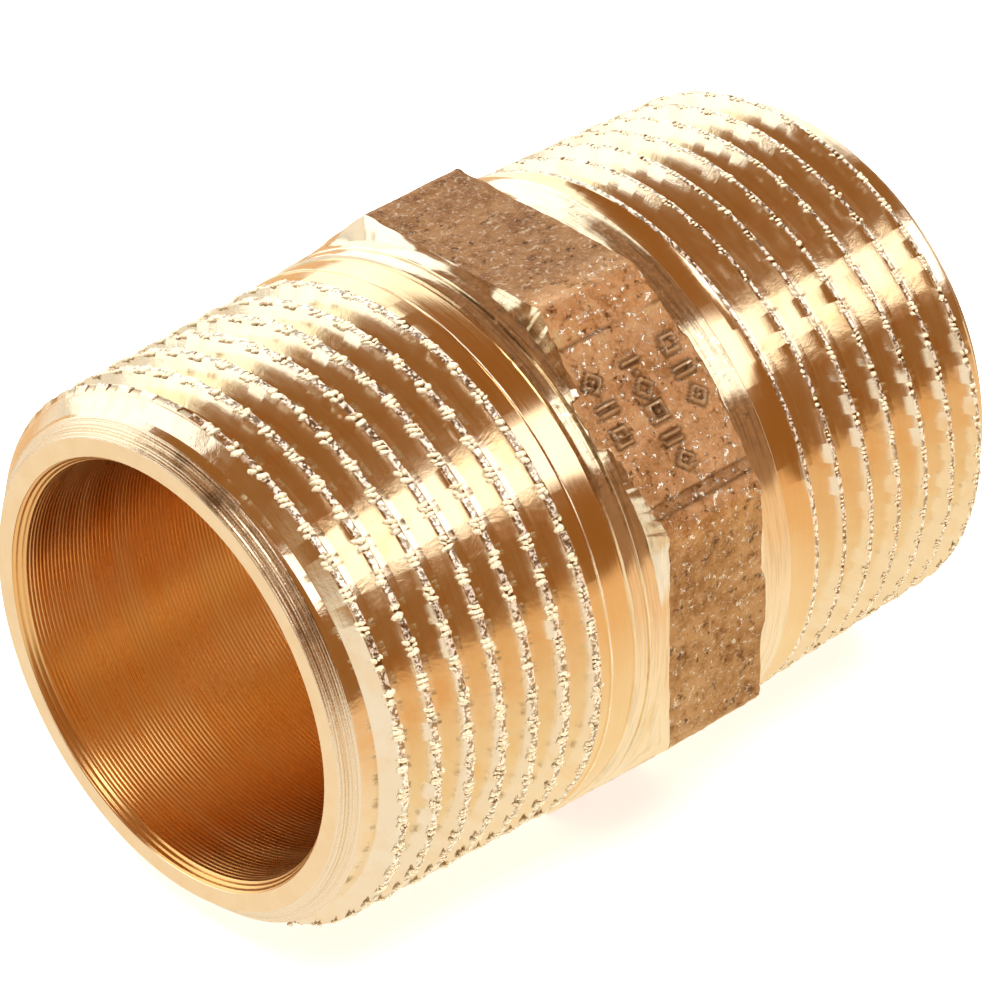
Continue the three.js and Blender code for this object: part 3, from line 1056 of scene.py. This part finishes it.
def plain(name, color, emit, diffuse=0.8):
    m = bpy.data.materials.new(name)
    m.use_nodes = True
    nt = m.node_tree
    b = nt.nodes["Principled BSDF"]
    b.inputs["Base Color"].default_value = (*[c * diffuse for c in color], 1)
    b.inputs["Roughness"].default_value = 0.9
    b.inputs["Specular IOR Level"].default_value = 0.0
    b.inputs["Emission Color"].default_value = (*color, 1)
    b.inputs["Emission Strength"].default_value = emit
    return m


def disc(name, radius, z, mat, n=96):
    d = bpy.data.meshes.new(name)
    pts = [(radius * math.cos(TAU * i / n), radius * math.sin(TAU * i / n), z) for i in range(n)]
    d.from_pydata(pts, [], [tuple(range(n))])
    d.materials.append(mat)
    o = bpy.data.objects.new(name, d)
    bpy.context.scene.collection.objects.link(o)
    return o


def card(name, az0, az1, radius, z0, z1, mat, n=24):
    """Upright curved card round the object, between two azimuths (degrees from +X towards +Y)."""
    d = bpy.data.meshes.new(name)
    pts, fs = [], []
    for i in range(n + 1):
        a = math.radians(az0 + (az1 - az0) * i / n)
        for z in (z0, z1):
            pts.append((radius * math.cos(a), radius * math.sin(a), z))
    for i in range(n):
        fs.append((2 * i, 2 * i + 2, 2 * i + 3, 2 * i + 1))
    d.from_pydata(pts, [], fs)
    d.materials.append(mat)
    o = bpy.data.objects.new(name, d)
    bpy.context.scene.collection.objects.link(o)
    o.visible_camera = False
    o.visible_diffuse = False
    o.visible_shadow = False
    return o


floor_mat = plain("floor", (1.0, 0.985, 0.96), 0.72, 0.85)
floor = disc("floor", 2.1, FLOOR_Z, floor_mat)
floor.visible_glossy = False
# what the metal sees of the floor: the lit patch round the object, warmer and dimmer further out
lit = plain("floor_lit", (0.95, 0.86, 0.76), 1.0, 0.0)
ln = N(lit.node_tree)
away = ln.radius_xy()
lx, ly, lz = ln.split(ln.obj)
side = ln.math("ABSOLUTE", ly)
lit_col = ln.mix(ln.range(side, 0.015, 0.045, 0, 1), (0.98, 0.78, 0.52), (0.88, 0.54, 0.27))
lit_col = ln.mix(ln.range(side, 0.05, 0.25, 0, 1), lit_col, (0.84, 0.44, 0.18))
lit_col = ln.mix(ln.range(lx, -0.012, -0.024, 0, 1), lit_col, (0.95, 0.82, 0.66))
ln.link(lit_col, lit.node_tree.nodes["Principled BSDF"].inputs["Emission Color"])
ln.link(ln.range(away, 0.18, 0.42, 1.0, 0.35), lit.node_tree.nodes["Principled BSDF"].inputs["Emission Strength"])
near_floor = disc("floor_lit", 0.42, FLOOR_Z + 0.00001, lit)
near_floor.visible_camera = False
near_floor.visible_diffuse = False
near_floor.visible_shadow = False

dome = bpy.data.meshes.new("backdrop")
dn, dm = 48, 16
pts = []
for j in range(dm + 1):
    e = math.radians(-6 + 96 * j / dm)
    for i in range(dn):
        a = TAU * i / dn
        pts.append((2.0 * math.cos(e) * math.cos(a), 2.0 * math.cos(e) * math.sin(a), 2.0 * math.sin(e)))
fs = [(j * dn + i, (j + 1) * dn + i, (j + 1) * dn + (i + 1) % dn, j * dn + (i + 1) % dn) for j in range(dm) for i in range(dn)]
dome.from_pydata(pts, [], fs)
dome.materials.append(plain("backdrop", (1.0, 0.99, 0.975), 1.0, 0.0))
backdrop = bpy.data.objects.new("backdrop", dome)
bpy.context.scene.collection.objects.link(backdrop)
backdrop.visible_glossy = False
backdrop.visible_diffuse = False
backdrop.visible_shadow = False

white = plain("card_white", (1.0, 0.94, 0.82), 1.5, 0.0)
tan = plain("card_tan", (0.62, 0.47, 0.34), 0.9, 0.0)
tn = N(tan.node_tree)
tn.link(tn.mix(tn.range(tn.split(tn.obj)[2], 0.0, 0.05, 0.0, 1.0), (0.64, 0.38, 0.18), (0.30, 0.116, 0.027)),
        tan.node_tree.nodes["Principled BSDF"].inputs["Emission Color"])
card("card_back", 15, 150, 0.45, -0.02, 0.37, white)
card("card_left", 166, 194, 0.45, -0.012, 0.07, tan)


def area(name, loc, size, power, color=(1, 1, 1), target=(0, 0, 0), glossy=True, size_y=None, diffuse=True):
    l = bpy.data.lights.new(name, "AREA")
    l.shape = "RECTANGLE"
    l.size = size
    l.size_y = size_y or size
    l.energy = power
    l.color = color
    o = bpy.data.objects.new(name, l)
    bpy.context.scene.collection.objects.link(o)
    o.location = loc
    direction = Vector(target) - Vector(loc)
    o.rotation_euler = direction.to_track_quat("-Z", "Y").to_euler()
    o.visible_camera = False
    o.visible_glossy = glossy
    o.visible_diffuse = diffuse
    return o


# soft box up and to the right: the bright band along the thread and the turned collars
BOX_DIR = Vector((0.562, -0.529, 0.636)).normalized()
BOX_T = Vector((0.0, -0.778, -0.628))
box = area("box_right", BOX_DIR * 0.5, 0.21, 1.0, (1.0, 0.97, 0.90), size_y=0.50, diffuse=False)
bx = BOX_T - BOX_DIR * BOX_T.dot(BOX_DIR)
bx.normalize()
by = BOX_DIR.cross(bx)
box.matrix_world = Matrix((
    (bx.x, by.x, BOX_DIR.x, BOX_DIR.x * 0.5), (bx.y, by.y, BOX_DIR.y, BOX_DIR.y * 0.5),
    (bx.z, by.z, BOX_DIR.z, BOX_DIR.z * 0.5), (0, 0, 0, 1)))
box.data.energy = 1.6 * math.pi * 0.21 * 0.50          # radiance 1.6
# small box high on the left: sparkle on the burrs and rough spots
area("box_high", Vector((-0.35, -0.25, 0.90)) * 0.5, 0.20, 3.5 * math.pi * 0.20 * 0.20, (1.0, 0.97, 0.90), diffuse=False)
# overhead fill for the floor, not seen in the metal
area("fill_top", (0.0, 0.0, 0.9), 1.2, 26.0, (1.0, 0.98, 0.94), glossy=False)

world = bpy.data.worlds.new("world")
bpy.context.scene.world = world
world.use_nodes = True
bg = world.node_tree.nodes["Background"]
bg.inputs["Color"].default_value = (0.30, 0.116, 0.027, 1)
bg.inputs["Strength"].default_value = 1.0

sc = bpy.context.scene
sc.view_settings.view_transform = "Standard"
sc.view_settings.look = "None"
sc.view_settings.exposure = 0.0
sc.view_settings.gamma = 1.0
